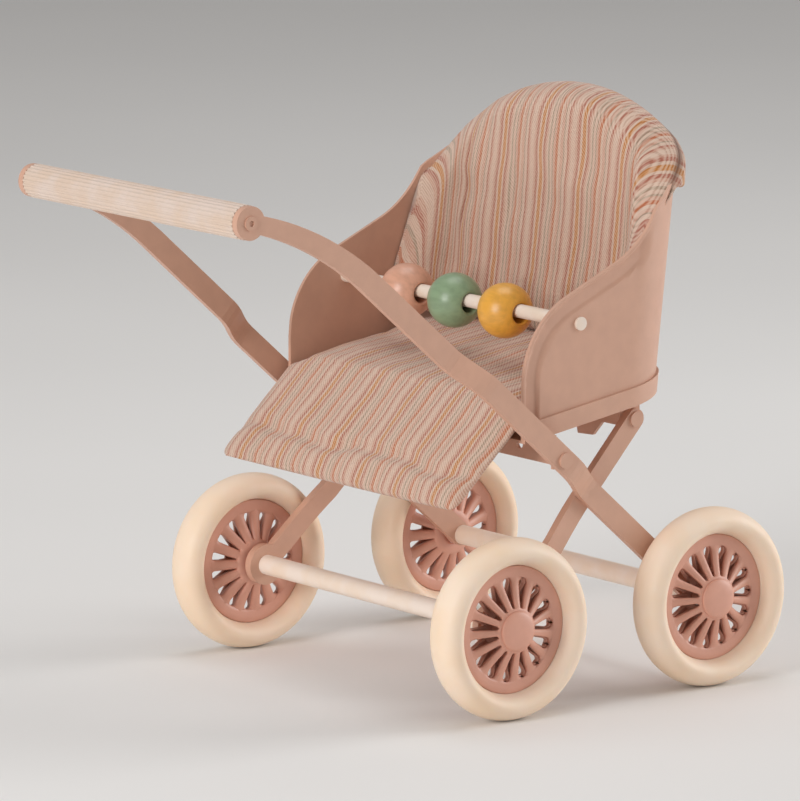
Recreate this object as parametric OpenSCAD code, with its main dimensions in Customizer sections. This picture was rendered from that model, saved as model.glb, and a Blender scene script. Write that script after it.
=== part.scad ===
// Doll stroller, all sizes in millimetres.
// X is across the stroller, -Y is the pushing end with the handle, +Y is the seat's back, +Z is up.
// The origin is on the ground, under the middle of the whole stroller.

/* [Wheels] */
// Outside diameter of a tyre
wheel_d = 39; // [34:0.5:47]
// Width of a tyre
tyre_w = 8.9; // [7:0.1:10.7]
// Diameter of the pink wheel disc inside the tyre
disc_d = 27.5; // [24:0.5:31]
// Number of teardrop openings in a wheel disc
slot_count = 15; // [9:1:18]
// Distance between the front and the rear axle
wheelbase = 55; // [50:1:66]
// Distance between the middle planes of the left and right wheels
track = 92; // [90:1:111]
// Diameter of the steel axles
axle_d = 2.4; // [2:0.1:2.9]
// Diameter of the cream sleeves over the axles
sleeve_d = 4.4; // [3.7:0.1:5.3]

/* [Handle] */
// Height of the handle's axis above the ground
handle_h = 110.5; // [100:0.5:132]
// Distance of the handle's axis from the middle between the axles
handle_reach = 89.3; // [82:0.5:107]
// Diameter of the fluted grip
grip_d = 7.3; // [6.4:0.1:8.8]
// Length of the fluted grip
grip_len = 74.6; // [62:0.2:76]
// Number of flutes round the grip
flute_count = 24; // [16:1:30]

/* [Frame] */
// Width of the flat arms, seen from the side
arm_w = 5; // [4.2:0.1:6]
// Thickness of the flat arms
arm_t = 1.6; // [1.3:0.1:1.9]
// Radius of the bend below the handle
arm_bend_r = 70; // [58:1:84]
// Slope of the arms where they meet the handle, in degrees
arm_end_slope = 12.5; // [10:0.5:15]
// Width of the front legs, seen from the side
leg_w = 4.4; // [3.8:0.1:5.2]
// Depth of the front legs, across the stroller
leg_t = 1.9; // [1.6:0.1:2.3]
// How far the middle of a front leg bends away from a straight line
leg_bow = 1.6; // [1.3:0.1:2]

/* [Seat] */
// Outside width of the seat tub
tub_w = 82.4; // [80:0.1:84]
// Sheet thickness of the tub
tub_t = 0.8; // [0.7:0.1:1]
// Length of the tub from its open front to its back, at the seat
tub_len = 43.6; // [37:0.1:52]
// Radius of the tub's two back corners
corner_r = 14.5; // [12:0.5:17.5]
// Backward lean of the tub, in degrees
lean = 6.6; // [5.5:0.1:8]
// Height of the top of the tub's back above the ground
tub_top = 123.5; // [119:0.5:128]
// Height of the underside of the seat tray, midway between the axles
seat_h = 60.6; // [57:0.1:64]
// Upward slope of the seat tray towards the back, in degrees
seat_tilt = 9; // [7.5:0.5:10.5]
// Height of the seat tray's rim
tray_rim = 4.1; // [3.4:0.1:5]
// Sheet thickness of the seat tray
tray_t = 0.6; // [0.5:0.1:0.7]

/* [Play bar] */
// Diameter of the play bar across the tub
bar_d = 3; // [2.5:0.1:3.4]
// Height of the play bar
bar_h = 81.6; // [80:0.1:84]
// Diameter of the wooden beads
bead_d = 12; // [10:0.5:12.5]
// Diameter of the holes in the beads
bead_hole_d = 4.2; // [3.9:0.1:5]

/* [Cushion] */
// Thickness of the seat part of the cushion
seat_pad_t = 8.2; // [7:0.1:9]
// Thickness of the back part of the cushion
back_pad_t = 8; // [6.7:0.1:9.6]
// Thickness of the hood that slips over the tub's back
hood_t = 2.4; // [2:0.1:2.8]
// How far the front flap reaches beyond the tub's open front
flap_len = 20.5; // [17:0.5:24]
// Slope of the front flap, in degrees
flap_slope = 44; // [38:1:50]

/* [Hidden] */
$fn = 48;
FAR = 400;

// Clearances
running_gap = 0.05;
side_gap = 0.1;
wheel_gap = 0.35;
cloth_gap = 0.3;

// Places along the stroller, measured from the middle between the axles
axle_y = wheelbase / 2;
wheel_r = wheel_d / 2;
handle_eye_r = 3.55;
back_end = axle_y + wheel_r;
middle_y = (handle_reach + max(handle_eye_r, grip_d / 2) - back_end) / 2;

// Planes across the stroller, all on the +X side
tub_x = tub_w / 2;
tray_x = tub_x + tray_t;
arm_mid_in = tray_x + 0.9;
arm_mid_out = arm_mid_in + arm_t;
arm_top_in = grip_len / 2 + side_gap;
arm_top_out = arm_top_in + arm_t;
arm_splay = 0.8;
low_out = track / 2 - tyre_w / 2 - wheel_gap;
arm_low_in = low_out - arm_t;
leg_top_out = arm_low_in;

// The arm: a straight line from the rear axle that is tangent to the bend below the handle
bend_y = -handle_reach - arm_bend_r * sin(arm_end_slope);
bend_z = handle_h - arm_bend_r * cos(arm_end_slope);
bend_dy = axle_y - bend_y;
bend_dz = bend_z - wheel_r;
bend_far = norm([bend_dy, bend_dz]);
arm_angle = atan2(bend_dz, bend_dy) + asin(arm_bend_r / bend_far);
arm_straight = sqrt(pow(bend_far, 2) - pow(arm_bend_r, 2));
arm_dir = [-cos(arm_angle), sin(arm_angle)];
rear_axle = [axle_y, wheel_r];
front_axle = [-axle_y, wheel_r];
handle_axis = [-handle_reach, handle_h];
arm_eye_r = handle_eye_r;
// How much narrower the arm gets along its bend, as a share of its width
arm_taper = 0.24;
// Where the arm steps sideways, measured up along it from the rear axle
low_step = [38.5, 48];
top_step = [77, 88];

// The tray and the pieces under it
function tray_z(y) = seat_h + y * tan(seat_tilt);
tub_front = -20;
tub_back = tub_front + tub_len;
front_rivet_y = -11;
front_rivet = rear_axle + arm_dir * (axle_y - front_rivet_y) / cos(arm_angle);
rear_rivet_drop = 3.5;
rear_rivet = [12.1, tray_z(12.1) - rear_rivet_drop];
rivet_d = 2;
rivet_head_d = 3.4;
rivet_head_t = 0.5;
// The upset end of a rivet, inside the frame
rivet_tail_d = 2.3;
strap_t = 0.8;

// The front leg: eye, bend and rivet, as [y, z]
leg_line = rear_rivet - front_axle;
leg_unit = leg_line / norm(leg_line);
leg_bend_share = 0.4;
leg_knee = front_axle + leg_line * leg_bend_share + [leg_unit[1], -leg_unit[0]] * leg_bow;
leg_eye_r = 4.5;
leg_angle = atan2(leg_line[1], leg_line[0]);
leg_step = [14, 34];
// Where the legs and the arms cross, at the meeting of the two lines
leg_up = rear_rivet - leg_knee;
cross_share = ((rear_axle[0] - leg_knee[0]) * arm_dir[1] - (rear_axle[1] - leg_knee[1]) * arm_dir[0])
    / (leg_up[0] * arm_dir[1] - leg_up[1] * arm_dir[0]);
crossing = leg_knee + leg_up * cross_share;

// The outline of the tub, seen from the side
side_round = 20;
side_round_z = bar_h - 12.2;
top_slope = 24;
sweep_r = 24;
sweep_start = tub_front + 25.1;
side_corner = [tub_front + side_round, side_round_z];
sweep_from = [sweep_start, side_corner[1] + side_round / cos(top_slope)
    + (sweep_start - side_corner[0]) * tan(top_slope)];
sweep_centre = sweep_from + sweep_r * [-sin(top_slope), cos(top_slope)];
// The arch of the tub's back, seen from behind: a crown between two shoulders
crown_r = 60;
shoulder_r = 22;
shoulder_x = tub_x - 20.2;
crown_z = tub_top - crown_r;
shoulder_z = crown_z + sqrt(pow(crown_r - shoulder_r, 2) - pow(shoulder_x, 2));

// The play bar, and the thinner ends of it that pass through the tub
bar_y = -4.7;
bar_end_d = 2;
bar_cap_d = 2.9;
bar_cap_t = 0.5;
bead_hang = (bead_hole_d - bar_d) / 2 - running_gap;
bead_places = [-18.4, -1.6, 15.9];

// The wheel, from its middle plane outwards
disc_r = disc_d / 2;
disc_t = 0.9;
disc_rim_x = 0.84;
disc_hub_x = 3;
disc_flat_r = disc_r - 1.9;
hub_cap_r = 4.3;
hub_r = 2.3;
hub_in = track / 2 - low_out - 0.25;
hub_out = 1.4;
clip_t = 0.5;
clip_r = 1.9;
cap_wall = 0.6;
cap_rise = 1.1;
slot_in = hub_cap_r + 0.9;
slot_out = disc_r * 0.815 - 1.15;
slot_in_r = 0.4;
slot_out_r = 1.15;
axle_half = track / 2 + hub_out + clip_t + 0.1;

// The flap's front edge, as [y, z]
pad_z = tray_t + seat_pad_t;
flap_top = [tub_front, tray_z(tub_front) + pad_z];
flap_dir = [-cos(flap_slope), -sin(flap_slope)];
flap_run = flap_len / cos(flap_slope);
flap_t = 5;

// Colours
PINK = [0.74, 0.54, 0.46];
CREAM = [0.90, 0.82, 0.74];
STEEL = [0.75, 0.75, 0.76];
CLOTH = [0.80, 0.66, 0.55];

// Each wheel: name, side (+1 is right), end (-1 is front)
WHEELS = [
    ["front_left", -1, -1], ["front_right", 1, -1], ["rear_left", -1, 1], ["rear_right", 1, 1]
];
WHEEL_PARTS = ["tyre", "outer_disc", "inner_disc", "hub", "hub_cap"];
SIDES = [["left", -1], ["right", 1]];
BEADS = [["bead_pink", 0], ["bead_green", 1], ["bead_mustard", 2]];

// ---- Helpers ----

// Puts a piece that is drawn about the middle between the axles into the stroller's own frame
module in_place() translate([0, middle_y, 0]) children();

// Turns a flat side view, drawn as [y, z], into a solid between two planes across the stroller
module from_side(x0, x1) translate([x0, 0, 0]) rotate([90, 0, 90]) linear_extrude(x1 - x0) children();

// Turns a flat back view, drawn as [x, z], into a solid that runs along the whole stroller
module from_back() translate([0, FAR / 2, 0]) rotate([90, 0, 0]) linear_extrude(FAR) children();

// Points along an arc, for an outline
function arc(centre, r, from, to, steps) =
    [for (i = [0:steps]) let (a = from + (to - from) * i / steps) centre + r * [cos(a), sin(a)]];

// A rod along X, about a point given as [y, z]
module rod(at, r, x0, x1) translate([x0, at[0], at[1]]) rotate([0, 90, 0]) cylinder(h = x1 - x0, r = r);

// Draws a piece on the right, and its mirror image on the left
module both_sides() {
    children();
    mirror([1, 0, 0]) children();
}
module on_side(side) {
    if (side > 0) children();
    else mirror([1, 0, 0]) children();
}

// A flat bar between two points, with round ends
module bar_shape(a, b, w) {
    d = b - a;
    translate(a) rotate(atan2(d[1], d[0])) translate([0, -w / 2]) square([norm(d), w]);
    translate(a) circle(d = w);
    translate(b) circle(d = w);
}

// ---- Frame ----

// Side view of an arm
module arm_shape() {
    across = [sin(arm_angle), cos(arm_angle)] * arm_w / 2;
    steps = 12;
    turn = arm_angle - arm_end_slope;
    // Half the width at each step round the bend
    halves = [for (i = [0:steps]) arm_w / 2 * (1 - arm_taper * i / steps)];
    bend = [for (i = [0:steps]) let (a = 90 - arm_angle + turn * i / steps) [cos(a), sin(a)]];
    translate(rear_axle) circle(d = arm_w);
    polygon(concat(
        [rear_axle + across],
        [for (i = [0:steps]) [bend_y, bend_z] + bend[i] * (arm_bend_r + halves[i])],
        [for (i = [steps:-1:0]) [bend_y, bend_z] + bend[i] * (arm_bend_r - halves[i])],
        [rear_axle - across]
    ));
    translate(handle_axis) circle(r = arm_eye_r);
}

// Points of a smooth sideways step between two planes, as [distance along, plane]
function soft_step(along, from, to) =
    [for (i = [0:6]) [along[0] + (along[1] - along[0]) * i / 6, from + (to - from) * (1 - cos(30 * i)) / 2]];

// View of an arm across its width: it steps out round the seat and back in to the wheels
module arm_steps() {
    path = concat(
        [[-10, low_out]],
        soft_step(low_step, low_out, arm_mid_out),
        soft_step(top_step, arm_mid_out, arm_top_out + arm_splay),
        [[arm_straight + 26, arm_top_out], [FAR, arm_top_out]]
    );
    polygon(concat(path, [for (i = [len(path) - 1:-1:0]) path[i] - [0, arm_t]]));
}

module arm(side) color(PINK) in_place() on_side(side) difference() {
    intersection() {
        from_side(0, track) arm_shape();
        translate([0, rear_axle[0], rear_axle[1]]) rotate([-arm_angle, 0, 0]) rotate([0, 0, -90])
            translate([0, 0, -FAR / 4]) linear_extrude(FAR / 2) arm_steps();
    }
    rod(rear_axle, sleeve_d / 2, 0, track);
    rod(front_rivet, rivet_d / 2, 0, track);
    rod(crossing, rivet_d / 2, 0, track);
    rod(handle_axis, rivet_d / 2, 0, track);
}

// Side view of a front leg
module leg_shape() {
    bar_shape(rear_rivet, leg_knee, leg_w);
    bar_shape(leg_knee, front_axle, leg_w);
    translate(front_axle) circle(r = leg_eye_r);
    translate(rear_rivet) circle(r = leg_w / 2);
}

// View of a leg across its width: its foot steps out to the wheel
module leg_steps() {
    path = concat([[-10, low_out]], soft_step(leg_step, low_out, leg_top_out), [[FAR, leg_top_out]]);
    polygon(concat(path, [for (i = [len(path) - 1:-1:0]) path[i] - [0, leg_t]]));
}

module leg(side) color(PINK) in_place() on_side(side) difference() {
    intersection() {
        from_side(0, track) leg_shape();
        translate([0, front_axle[0], front_axle[1]]) rotate([leg_angle, 0, 0]) rotate([0, 0, 90])
            translate([0, 0, -FAR / 4]) linear_extrude(FAR / 2) mirror([0, 1]) leg_steps();
    }
    rod(front_axle, sleeve_d / 2, 0, track);
    rod(rear_rivet, rivet_d / 2, 0, track);
    rod(crossing, rivet_d / 2, 0, track);
}

// A strap on edge under the tray, with a foot along it and an ear at each end for the arms' rivets
module front_crossbar() color(PINK) in_place() {
    front = front_rivet_y - 2;
    web_low = tray_z(front) - 6.2;
    // The foot stops short of the ears, clear of the rivets
    foot_x = arm_mid_in - 2.4;
    difference() {
        union() {
            from_side(-arm_mid_in, arm_mid_in) polygon([
                [front, web_low], [front + strap_t, web_low],
                [front + strap_t, tray_z(front + strap_t)], [front, tray_z(front)]
            ]);
            from_side(-foot_x, foot_x) translate([front, web_low]) square([4, strap_t]);
            both_sides() {
                from_side(arm_mid_in - strap_t, arm_mid_in)
                    translate([front, front_rivet[1] - 1.9]) square([2, 3.8]);
                rod(front_rivet, 1.9, arm_mid_in - strap_t, arm_mid_in);
            }
        }
        rod(front_rivet, rivet_d / 2, -track, track);
        // A round hole near each end of the web
        both_sides() translate([arm_mid_in - 11.4, front - 1, front_rivet[1] + 2]) rotate([-90, 0, 0])
            cylinder(h = 4, r = 1.1);
    }
}

// A strap under the tray with an ear at each end, for the rivets of the legs
module rear_crossbar() color(PINK) in_place() {
    inner = leg_top_out - leg_t;
    front = rear_rivet[0] - 3;
    difference() {
        union() {
            from_side(-inner, inner) polygon([
                [front, tray_z(front)], [front, tray_z(front) - 4.4],
                [front + strap_t, tray_z(front) - 4.4], [front + strap_t, tray_z(front + strap_t)]
            ]);
            both_sides() from_side(inner - strap_t, inner) polygon([
                [front, tray_z(front)], [front, tray_z(front) - 4.4],
                [front + 5.6, tray_z(front) - 4.4], [front + 5.6, tray_z(front + 5.6)]
            ]);
            // A small lug under each end
            both_sides() translate([0, front + strap_t, 0]) rotate([90, 0, 0]) linear_extrude(strap_t)
                polygon([
                    [inner - 15, tray_z(front) - 4], [inner - 14, tray_z(front) - 8],
                    [inner - 9, tray_z(front) - 7.7], [inner - 5.4, tray_z(front) - 4]
                ]);
        }
        rod(rear_rivet, rivet_d / 2, -track, track);
    }
}

// One rivet with a low round head at its outer end and a flat one inside
module rivet(at, x_in, x_out) {
    rod(at, rivet_d / 2, x_in - rivet_head_t, x_out + rivet_head_t);
    rod(at, rivet_tail_d / 2, x_in - rivet_head_t, x_in);
    rod(at, rivet_head_d / 2, x_out, x_out + rivet_head_t);
}

module arm_rivets() color(PINK) in_place() both_sides()
    rivet(front_rivet, arm_mid_in - strap_t, arm_mid_out);
module leg_rivets() color(PINK) in_place() both_sides()
    rivet(rear_rivet, leg_top_out - leg_t - strap_t, leg_top_out);
module crossing_rivets() color(PINK) in_place() both_sides() {
    rod(crossing, rivet_d / 2, leg_top_out - leg_t - rivet_head_t, low_out);
    rod(crossing, rivet_head_d / 2, leg_top_out - leg_t - rivet_head_t, leg_top_out - leg_t);
}

// ---- Handle ----

module handle_grip() color(CREAM) in_place() difference() {
    rod(handle_axis, grip_d / 2, -grip_len / 2, grip_len / 2);
    for (i = [0:flute_count - 1]) {
        a = i * 360 / flute_count;
        rod(handle_axis + (grip_d / 2 + 0.28) * [cos(a), sin(a)], 0.46, -FAR / 4, FAR / 4, $fn = 16);
    }
    both_sides() rod(handle_axis, rivet_d / 2, grip_len / 2 - 8, grip_len);
}

// Two screws that hold the grip between the arms
module handle_screws() color(PINK) in_place() both_sides() difference() {
    union() {
        rod(handle_axis, rivet_d / 2, grip_len / 2 - 8, arm_top_out + 0.3);
        rod(handle_axis, 1.5, arm_top_out, arm_top_out + 0.3);
    }
    rod(handle_axis, 0.6, arm_top_out, arm_top_out + 1);
}

// ---- Seat ----

// Plan of the tub, grown outwards by a distance, from its open front to its back
module tub_plan(grow) {
    half = tub_x + grow;
    r = corner_r + grow;
    arc_y = tub_back - corner_r;
    translate([-half, tub_front - 30]) square([2 * half, arc_y - tub_front + 30]);
    translate([-half + r, arc_y - 1]) square([2 * (half - r), r + 1]);
    for (s = [-1, 1]) translate([s * (half - r), arc_y]) circle(r = r, $fn = 64);
}

// The tub's inside or outside as a tall leaning block
module tub_block(grow) {
    base = tray_z(tub_back);
    translate([0, tub_back, base]) rotate([-lean, 0, 0]) translate([0, -tub_back, -base])
        translate([0, 0, seat_h - 30]) linear_extrude(120) tub_plan(grow);
}

// The back's arch, grown outwards by a distance
module arch(grow) {
    tie = atan2(shoulder_z - crown_z, shoulder_x);
    half = shoulder_x + shoulder_r + grow;
    polygon(concat(
        [[half, 0]],
        arc([shoulder_x, shoulder_z], shoulder_r + grow, 0, tie, 12),
        arc([0, crown_z], crown_r + grow, tie, 180 - tie, 20),
        arc([-shoulder_x, shoulder_z], shoulder_r + grow, 180 - tie, 180, 12),
        [[-half, 0]]
    ));
}

// Side view of the tub: a round front corner, a slope, and a sweep up to the back
module tub_side_shape() difference() {
    polygon(concat(
        [[tub_front, tray_z(tub_front)]],
        arc(side_corner, side_round, 180, 90 + top_slope, 16),
        arc(sweep_centre, sweep_r, top_slope - 90, 0, 16),
        [[sweep_centre[0] + sweep_r, tub_top + 20], [tub_back + 30, tub_top + 20]],
        [[tub_back + 30, tray_z(tub_back + 30)]]
    ));
    // The tub stands on the tray's floor
    polygon([
        [-FAR, tray_z(-FAR) + tray_t], [FAR, tray_z(FAR) + tray_t], [FAR, -FAR], [-FAR, -FAR]
    ]);
}

// Side view of the space in front of the sweep, closer to it or farther from it
module sweep_space(r) {
    translate(sweep_centre) circle(r = r, $fn = 96);
    translate([sweep_centre[0] - 60, sweep_centre[1]]) square([60 + r, 60]);
}

module seat_tub() color(PINK) in_place() difference() {
    intersection() {
        tub_block(0);
        from_back() arch(0);
        from_side(-tub_x - 1, tub_x + 1) tub_side_shape();
    }
    tub_block(-tub_t);
    rod([bar_y, bar_h], bar_end_d / 2, -track, track);
}

// A tray with a low rim that holds the tub's foot
module seat_tray() color(PINK) in_place() difference() {
    intersection() {
        tub_block(tray_t);
        from_side(-tray_x, tray_x) polygon([
            [tub_front, tray_z(tub_front)], [tub_back + 20, tray_z(tub_back + 20)],
            [tub_back + 20, tray_z(tub_back + 20) + tray_rim], [tub_front, tray_z(tub_front) + tray_rim]
        ]);
    }
    intersection() {
        tub_block(0);
        from_side(-tub_x, tub_x) polygon([
            [tub_front - 1, tray_z(tub_front - 1) + tray_t], [tub_back + 20, tray_z(tub_back + 20) + tray_t],
            [tub_back + 20, FAR], [tub_front - 1, FAR]
        ]);
    }
}

// ---- Play bar ----

module play_bar() color(CREAM) in_place() {
    rod([bar_y, bar_h], bar_d / 2, tub_t - tub_x, tub_x - tub_t);
    rod([bar_y, bar_h], bar_end_d / 2, -tub_x - bar_cap_t, tub_x + bar_cap_t);
}

// A small ring that holds each end of the play bar outside the tub
module play_bar_caps() color(CREAM) in_place() both_sides() difference() {
    rod([bar_y, bar_h], bar_cap_d / 2, tub_x, tub_x + bar_cap_t);
    rod([bar_y, bar_h], bar_end_d / 2, 0, track);
}

module bead(i) color([[0.74, 0.53, 0.43], [0.49, 0.56, 0.41], [0.85, 0.60, 0.22]][i]) in_place()
    translate([bead_places[i], bar_y, bar_h - bead_hang]) rotate([0, 90, 0]) rotate_extrude()
        difference() {
            circle(d = bead_d);
            translate([-bead_d, -bead_d]) square([bead_d + bead_hole_d / 2, 2 * bead_d]);
        }

// ---- Axles and wheels ----

module axle(end) color(STEEL) in_place() rod([end * axle_y, wheel_r], axle_d / 2, -axle_half, axle_half);

// The cream tube over an axle, from one outer face of the frame to the other
module sleeve(end) color(CREAM) in_place() difference() {
    rod([end * axle_y, wheel_r], sleeve_d / 2, -low_out, low_out);
    rod([end * axle_y, wheel_r], axle_d / 2, -track, track);
}

// A pressed ring on each axle end keeps the wheel on
module axle_clips() color(STEEL) in_place() for (end = [-1, 1]) both_sides() difference() {
    rod([end * axle_y, wheel_r], clip_r, track / 2 + hub_out + 0.05, track / 2 + hub_out + 0.05 + clip_t);
    rod([end * axle_y, wheel_r], axle_d / 2, 0, track);
}

// Places a wheel piece that is drawn about Z with its outer side up
module at_wheel(w) in_place() translate([w[1] * track / 2, w[2] * axle_y, wheel_r]) on_side(w[1])
    rotate([0, 90, 0]) children();

module tyre(w) color(CREAM) at_wheel(w) rotate_extrude() {
    mid = (wheel_r + disc_r) / 2 - 0.2;
    outer = wheel_r - mid;
    inner = mid - disc_r;
    polygon(concat(
        [for (a = [-90:15:90]) [mid + outer * cos(a), tyre_w / 2 * sin(a)]],
        [for (a = [75:-15:30]) [mid - inner * cos(a), tyre_w / 2 * sin(a)]],
        [[disc_r, disc_rim_x], [disc_r, -disc_rim_x]],
        [for (a = [-30:-15:-75]) [mid - inner * cos(a), tyre_w / 2 * sin(a)]]
    ));
}

// Section of a wheel disc: a rim band, a flat rim and a cone that rises to the hub
module disc_section() polygon([
    [hub_r, disc_hub_x], [hub_cap_r, disc_hub_x], [disc_flat_r, disc_rim_x], [disc_r, disc_rim_x],
    [disc_r, 0], [disc_r - disc_t, 0], [disc_r - disc_t, disc_rim_x - 0.6],
    [disc_flat_r - 0.4, disc_rim_x - 0.6], [hub_cap_r, disc_hub_x - disc_t], [hub_r, disc_hub_x - disc_t]
]);

module disc(w, out) color(PINK) at_wheel(w) mirror([0, 0, out ? 0 : 1]) difference() {
    rotate_extrude() disc_section();
    for (i = [0:slot_count - 1]) rotate(i * 360 / slot_count) {
        translate([slot_in, 0, -1]) cylinder(h = 2 * disc_hub_x, r = slot_in_r, $fn = 24);
        translate([slot_out, 0, -1]) cylinder(h = 2 * disc_hub_x, r = slot_out_r, $fn = 24);
        translate([0, 0, -1]) linear_extrude(2 * disc_hub_x) polygon([
            [slot_in, -slot_in_r], [slot_out, -slot_out_r], [slot_out, slot_out_r], [slot_in, slot_in_r]
        ]);
    }
}

// The bush that joins the two discs and turns on the axle
module hub(w) color(PINK) at_wheel(w) difference() {
    translate([0, 0, -hub_in]) cylinder(h = hub_in + hub_out, r = hub_r);
    cylinder(h = track, r = axle_d / 2 + running_gap, center = true);
}

// A domed cap with a hollow for the axle's end
module hub_cap(w) color(PINK) at_wheel(w) translate([0, 0, disc_hub_x]) {
    dome_r = (pow(hub_cap_r, 2) + pow(cap_rise, 2)) / (2 * cap_rise);
    hollow_r = hub_r + 0.1;
    difference() {
        intersection() {
            cylinder(h = cap_rise, r = hub_cap_r);
            translate([0, 0, cap_rise - dome_r]) sphere(r = dome_r, $fn = 96);
        }
        translate([0, 0, -1]) cylinder(h = 1 + cap_rise - cap_wall, r = hollow_r);
    }
}

module wheel_part(w, part) {
    if (part == "tyre") tyre(w);
    if (part == "outer_disc") disc(w, true);
    if (part == "inner_disc") disc(w, false);
    if (part == "hub") hub(w);
    if (part == "hub_cap") hub_cap(w);
}

// ---- Cushion ----

module cushion_seat() color(CLOTH) in_place() {
    front = tub_front + cloth_gap;
    back = tub_back + 9;
    low = tray_t + side_gap;
    intersection() {
        tub_block(-tub_t - cloth_gap);
        from_side(-tub_x, tub_x) polygon([
            [front, tray_z(front) + low], [back, tray_z(back) + low],
            [back, tray_z(back) + pad_z], [front, tray_z(front) + pad_z]
        ]);
    }
}

module cushion_flap() color(CLOTH) in_place() from_side(-tub_x + 0.1, tub_x - 0.1) {
    under = [-flap_dir[1], flap_dir[0]];
    tip = flap_top + flap_dir * (flap_run - flap_t / 2) + under * flap_t / 2;
    polygon(concat(
        [flap_top, flap_top - [0, seat_pad_t]],
        arc(tip, flap_t / 2, flap_slope - 90, flap_slope - 270, 10)
    ));
}

// A point of the cushion's side view, measured from where the tub's round front corner starts
function from_corner(y, z) = [tub_front + y, side_round_z + z];

// Side view of the cushion's wrap round the tub's inside
module wrap_shape() polygon([
    [tub_front + 22.8, tray_z(tub_front + 22.8) + pad_z], from_corner(26.7, 11), from_corner(33, 25),
    from_corner(35, 30.6), from_corner(37.5, 33.6), from_corner(43, 39.6), from_corner(46, 42.6),
    from_corner(46, 90), from_corner(FAR, 90), [FAR, tray_z(FAR) + pad_z]
]);

module cushion_back() color(CLOTH) in_place() difference() {
    intersection() {
        tub_block(-tub_t - cloth_gap);
        from_back() arch(-tub_t);
        union() {
            from_side(-tub_x, tub_x) wrap_shape();
            from_side(-28, 28) polygon([
                [tub_front + 22.8, tray_z(tub_front + 22.8) + pad_z], from_corner(22.8, 90),
                from_corner(FAR, 90), [FAR, tray_z(FAR) + pad_z]
            ]);
        }
    }
    tub_block(-back_pad_t);
}

// The pocket that slips over the top of the tub's back
module cushion_hood() color(CLOTH) in_place() difference() {
    intersection() {
        tub_block(hood_t);
        from_back() arch(hood_t);
        union() {
            from_side(-tub_x - 5, tub_x + 5) polygon([
                from_corner(31, 28.1), from_corner(44, 39.6), from_corner(FAR, 39.6), from_corner(FAR, 90),
                from_corner(46.5, 90), from_corner(46.5, 47.6), from_corner(44, 43.6),
                from_corner(38, 37.6), from_corner(33, 32.6)
            ]);
            from_side(-26, 26) polygon([
                from_corner(41.5, 39.6), from_corner(FAR, 39.6), from_corner(FAR, 90), from_corner(41.5, 90)
            ]);
        }
    }
    intersection() {
        tub_block(side_gap);
        from_back() arch(side_gap);
        from_side(-tub_x - 5, tub_x + 5) difference() {
            translate([-FAR, 0]) square(2 * FAR);
            sweep_space(sweep_r - side_gap);
        }
    }
    tub_block(-back_pad_t);
}

// ---- Output ----

seat_tub();
seat_tray();
front_crossbar();
rear_crossbar();
for (s = SIDES) arm(s[1]);
for (s = SIDES) leg(s[1]);
arm_rivets();
leg_rivets();
crossing_rivets();
handle_grip();
handle_screws();
play_bar();
play_bar_caps();
for (b = BEADS) bead(b[1]);
axle(-1);  // front_axle
axle(1);  // rear_axle
sleeve(-1);  // front_sleeve
sleeve(1);  // rear_sleeve
axle_clips();
for (w = WHEELS) for (p = WHEEL_PARTS)
    wheel_part(w, p);
cushion_seat();
cushion_flap();
cushion_back();
cushion_hood();
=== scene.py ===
# %% [markdown]
# # A doll stroller, dressed for its picture
#
# A toy stroller has three kinds of piece. Painted metal straps and a bent sheet tub carry the
# load, turned and moulded pieces roll and slide, and a striped cushion lies over the seat.
# The load-bearing pieces come ready at their real size, so this lesson only paints them. The
# pieces whose charm is in their surface are made again here: the tub, the wheels, the beads
# and the cushion. The ready model is loaded first, and every place is measured from it.

# %% Load the frame
import math
import bmesh
import bpy
from mathutils import Matrix, Vector, noise


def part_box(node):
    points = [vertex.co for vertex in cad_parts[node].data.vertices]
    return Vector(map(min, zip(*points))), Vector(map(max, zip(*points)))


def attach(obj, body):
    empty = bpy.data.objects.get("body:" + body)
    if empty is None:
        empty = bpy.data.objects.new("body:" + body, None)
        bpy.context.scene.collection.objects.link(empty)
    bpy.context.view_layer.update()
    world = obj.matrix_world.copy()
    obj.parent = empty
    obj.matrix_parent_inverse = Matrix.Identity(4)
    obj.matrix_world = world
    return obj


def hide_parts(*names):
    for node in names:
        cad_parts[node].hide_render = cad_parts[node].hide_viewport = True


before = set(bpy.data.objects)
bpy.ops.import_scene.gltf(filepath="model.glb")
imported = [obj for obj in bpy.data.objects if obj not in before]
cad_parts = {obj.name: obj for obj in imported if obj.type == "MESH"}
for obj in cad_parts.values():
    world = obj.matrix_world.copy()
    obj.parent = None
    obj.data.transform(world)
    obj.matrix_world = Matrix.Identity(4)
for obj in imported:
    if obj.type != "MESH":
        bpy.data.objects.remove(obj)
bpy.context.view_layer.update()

MM = 0.001
print("pieces in the frame:", len(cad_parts))

# %% [markdown]
# Millimetres read more easily than metres on a thing this small. Each measure below is taken
# from a piece's box, so a stroller with another wheel or another tub still lines up.

# %% Measures of the frame, in millimetres


def box_mm(node):
    """Lowest and highest corner of a ready piece, in millimetres."""
    low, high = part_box(node)
    return low / MM, high / MM


TUB_LOW, TUB_HIGH = box_mm("seat_tub")
TRAY_LOW = box_mm("seat_tray")[0]
BAR_LOW = box_mm("play_bar")[0]
print("tub, mm:", [round(v, 1) for v in TUB_HIGH - TUB_LOW])

# %% [markdown]
# The camera stands well back with a long lens, which keeps the lines of a small thing nearly
# parallel. It is aimed with a direction and a distance, which are easier to think about than
# three angles.

# %% Camera
VIEW_AROUND = math.radians(52.3)
VIEW_DOWN = math.radians(10.15)
VIEW_DISTANCE = 1.4582
VIEW_TARGET = Vector((0, 0.0021, 0.0610))
LENS_MM = 304.96
SENSOR_MM = 36


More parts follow.
